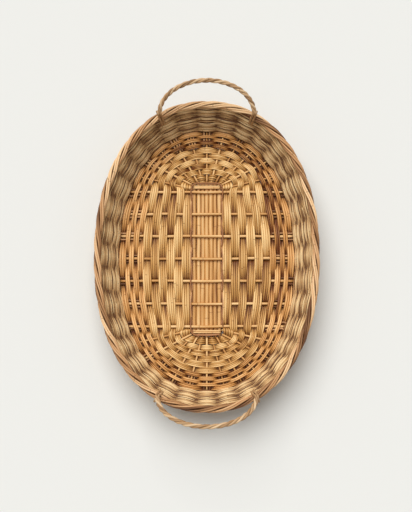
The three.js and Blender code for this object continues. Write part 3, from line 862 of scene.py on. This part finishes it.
form = new_form()
for rib in ribs:
    edge = stake_edges[rib.number]
    insert_share = corner_stake_insert_share if is_corner_spoke(rib) else stake_insert_share
    tone = chance.choice(stake_tones)
    for strand in (-1, 1):
        beside_stick = rib.along * strand * straddle_of(rib)
        beside_rod = edge.along * strand * stake_rod_radius * stake_rods_apart
        knots = [
            rib_point(rib, insert_share) + beside_stick,
            rib_point(rib, (insert_share + stake_edge_share) / 2) + beside_stick,
            edge.point - edge.outward * stake_run_in + beside_stick,
            edge.point - edge.outward * stake_bend + beside_stick,
            wall_point(edge, stake_bend, 0) + beside_stick.lerp(beside_rod, stake_closing_share),
            wall_point(edge, stake_join_rise, 0) + beside_rod,
        ]
        for share in stake_wall_shares:
            knots.append(wall_point(edge, (wall_slant - border_radius) * share, 0) + beside_rod)
        own_tone = tone + chance.uniform(-stake_tone_spread, stake_tone_spread)
        tones = [own_tone + inserted_tone] * len(knots)
        radii = [stake_rod_radius] * len(knots)
        for stakes, degrees, radius in stroke_path:
            there = length_after_stakes(rib, stakes)
            knots.append(border_point(there, radius, degrees - strand * border_rod_half_angle))
            # Painted shade, browner away from the top of the border.
            tones.append(own_tone + stroke_lower_shade * (abs(degrees - 90) / 90) ** 2)
            radii.append(border_rod_radius)
        points = smooth_path(knots, stake_steps)
        radii = along_path(radii, stake_steps)
        tones = along_path(tones, stake_steps)
        grow_rod(form, points, radii, radii, tones, edge.along, painted_edge_shade=(0, 0))
for degrees in border_core_angles:
    points = []
    for step in range(border_core_steps + 1):
        there = step * outline_length / border_core_steps
        points.append(border_point(there, border_core_distance, degrees))
    grow_rod(form, points, border_core_radius, border_core_radius, border_core_shade, upwards)
add_piece("stakes_rolled_into_border", form, border_willow, "stakes_and_border")

# Handles: at each end three long willow rods are pushed down the faces of the wall, one outside and
# two inside, twisted into a rope that arches over from stake to stake, and pushed down again.
handle_sides_of_wall = (1, -1, -1)
handle_asides = (0, 1, -1)
handle_strand_count = len(handle_sides_of_wall)
handle_strand_radius = 0.0017
handle_twist_radius = 0.0019
handle_height = 0.0494
handle_lean = math.radians(57)
handle_twists = 6
handle_knots_per_twist = 8
handle_knots = handle_twists * handle_knots_per_twist
handle_steps = 4
handle_stakes_from_middle = 2
handle_stake_shift = 0.00495
handle_root_rise = 0.013
handle_tail_drop = 0.016
handle_tail_degrees = (100, 64, 36)
handle_tail_reach = {1: 0.0078, -1: 0.0052}
handle_tail_end_depth = {1: 0.0044, -1: 0.0018}
# Painted shade: the rod ends that lie against the wall and in the border are browner.
handle_tail_shade = 0.5
handle_arch_tones = (0.15, 0.4, 0.65)
handle_willow = willow("handle_willow", (226, 194, 152), (184, 144, 100), (98, 62, 32), 0.5, 0.9)


def handle_tail(length, face):
    """Knots of one rod's end, from inside the weave up the wall to where the twist begins."""
    depth = face * handle_tail_end_depth[face]
    tail = [wall_point(edge_at(length), wall_slant - handle_tail_drop, depth)]
    for from_top in handle_tail_degrees:
        tail.append(border_point(length, handle_tail_reach[face], 90 - face * from_top))
    return tail


for end, middle in (("north", middle_spoke), ("south", middle_spoke + ribs_per_half)):
    roots = []
    for away in (-1, 1):
        stake_length = ribs[middle + away * handle_stakes_from_middle].edge_length
        roots.append((stake_length + away * handle_stake_shift, away))
    tops = [border_point(length, handle_root_rise, 90) for length, _ in roots]
    centre = tops[0].lerp(tops[1], 0.5)
    half_span = tops[0] - centre
    outwards = math.copysign(1, centre.y)
    rise = Vector((0, outwards * math.sin(handle_lean), math.cos(handle_lean)))
    outer_face = Vector((0, outwards * math.cos(handle_lean), -math.sin(handle_lean)))
    for strand in range(handle_strand_count):
        phase = 2 * math.pi * strand / handle_strand_count
        face = handle_sides_of_wall[strand]
        aside = handle_asides[strand] * handle_strand_radius
        first_tail, last_tail = [handle_tail(length + away * aside, face) for length, away in roots]
        arch = []
        for step in range(handle_knots + 1):
            turn = math.pi * step / handle_knots
            twist = phase + 2 * math.pi * handle_twists * step / handle_knots
            in_plane = half_span.normalized() * math.cos(turn) + rise * math.sin(turn)
            middle_line = centre + half_span * math.cos(turn) + rise * (handle_height * math.sin(turn))
            round_it = outer_face * math.cos(twist) + in_plane * math.sin(twist)
            arch.append(middle_line + round_it * handle_twist_radius)
        points = smooth_path([*first_tail, *arch, *reversed(last_tail)], handle_steps)
        tail_tones = [handle_tail_shade] * (len(first_tail) + 1)
        arch_tones = [handle_arch_tones[strand]] * (len(arch) - 2)
        tones = along_path([*tail_tones, *arch_tones, *tail_tones], handle_steps)
        radius = handle_strand_radius
        form = new_form()
        grow_rod(form, points, radius, radius, tones, outer_face, sides=10, painted_edge_shade=(0, 0))
        name = f"{end}_handle_strand_{strand + 1}"
        add_piece(f"twisted_{name}", form, handle_willow, name)

# Studio: a plain pale floor under a soft lamp from the upper left, with even light from all round.
# The background shows the backdrop's own colour, whatever the light is.
floor_form = bmesh.new()
bmesh.ops.create_grid(floor_form, x_segments=1, y_segments=1, size=4)
floor_mesh = bpy.data.meshes.new("pale_floor")
floor_form.to_mesh(floor_mesh)
floor_form.free()
floor = bpy.data.objects.new("pale_floor", floor_mesh)
bpy.context.scene.collection.objects.link(floor)
floor_paint = bpy.data.materials.new("floor_paint")
floor_paint.use_nodes = True
floor_surface = floor_paint.node_tree.nodes["Principled BSDF"]
floor_surface.inputs["Base Color"].default_value = linear(233, 233, 229)
floor_surface.inputs["Roughness"].default_value = 0.9
floor_surface.inputs["Specular IOR Level"].default_value = 0.1
floor_mesh.materials.append(floor_paint)

lamp_from = Vector((-0.22, 0.62, 1.15))
lamp = bpy.data.lights.new("key_lamp", "SUN")
lamp.energy = 2.65
lamp.angle = math.radians(50)
lamp_object = bpy.data.objects.new("key_lamp", lamp)
lamp_object.rotation_euler = lamp_from.to_track_quat("Z", "Y").to_euler()
bpy.context.scene.collection.objects.link(lamp_object)

world = bpy.data.worlds.new("studio")
bpy.context.scene.world = world
world.use_nodes = True
world_nodes = world.node_tree.nodes
world_link = world.node_tree.links.new
room_light = world_nodes["Background"]
room_light.inputs["Color"].default_value = (1, 0.985, 0.96, 1)
room_light.inputs["Strength"].default_value = 0.34
backdrop = world_nodes.new("ShaderNodeBackground")
backdrop.inputs["Color"].default_value = linear(241, 240, 235)
seen = world_nodes.new("ShaderNodeLightPath")
seen_or_mirrored = world_nodes.new("ShaderNodeMath")
seen_or_mirrored.operation = "MAXIMUM"
seen_in_any_way = world_nodes.new("ShaderNodeMath")
seen_in_any_way.operation = "MAXIMUM"
light_or_backdrop = world_nodes.new("ShaderNodeMixShader")
world_link(seen.outputs["Is Camera Ray"], seen_or_mirrored.inputs[0])
world_link(seen.outputs["Is Glossy Ray"], seen_or_mirrored.inputs[1])
world_link(seen_or_mirrored.outputs["Value"], seen_in_any_way.inputs[0])
world_link(seen.outputs["Is Transmission Ray"], seen_in_any_way.inputs[1])
world_link(seen_in_any_way.outputs["Value"], light_or_backdrop.inputs["Fac"])
world_link(room_light.outputs["Background"], light_or_backdrop.inputs[1])
world_link(backdrop.outputs["Background"], light_or_backdrop.inputs[2])
world_link(light_or_backdrop.outputs["Shader"], world_nodes["World Output"].inputs["Surface"])

# Camera: almost straight above the tray, leaning a little towards its south end, from where the
# photograph was taken.
camera_elevation = math.radians(81.2)
camera_distance = 1.42
camera_target = Vector((-0.0012, 0.0007, 0.030))
camera_data = bpy.data.cameras.new("camera")
camera_data.sensor_fit = "AUTO"
camera_data.sensor_width = 36
camera_data.lens = 68.5
camera = bpy.data.objects.new("camera", camera_data)
back = Vector((0, -math.cos(camera_elevation), math.sin(camera_elevation)))
camera.location = camera_target + back * camera_distance
camera.rotation_euler = back.to_track_quat("Z", "Y").to_euler()
bpy.context.scene.collection.objects.link(camera)
bpy.context.scene.camera = camera
bpy.context.scene.view_settings.view_transform = "Standard"
